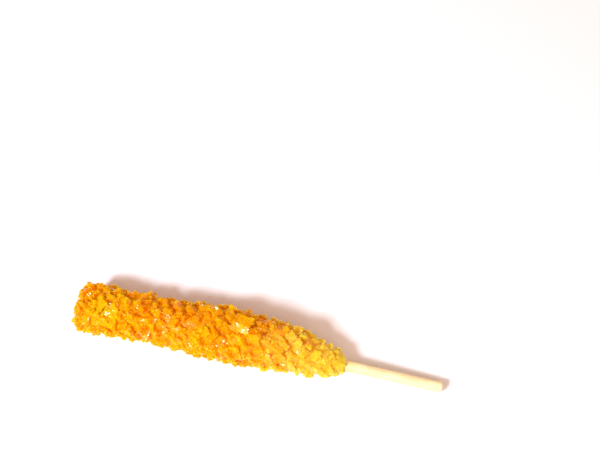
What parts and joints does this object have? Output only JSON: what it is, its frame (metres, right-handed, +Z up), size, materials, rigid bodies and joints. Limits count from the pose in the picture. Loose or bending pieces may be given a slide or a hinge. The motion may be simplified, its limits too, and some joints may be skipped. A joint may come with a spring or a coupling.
{
  "type": "rock candy stick",
  "caption": "Amber rock candy: a rough cylinder of sugar crystals grown round a plain round wooden stick, lying on its side.",
  "frame": {"origin": "middle of the footprint's bounding box, on the surface that the candy lies on", "axes": "+X along the stick from the blunt sugar end to the bare wooden end, +Z up"},
  "size_m": [0.1564, 0.0248, 0.0237],
  "materials": {
    "sugar": "clear amber sugar crystals, glossy facets over a cloudy body",
    "wood": "pale sanded birch, matt"
  },
  "bodies": {
    "root": {"candy": "sugar", "stick": "wood"}
  },
  "joints": []
}
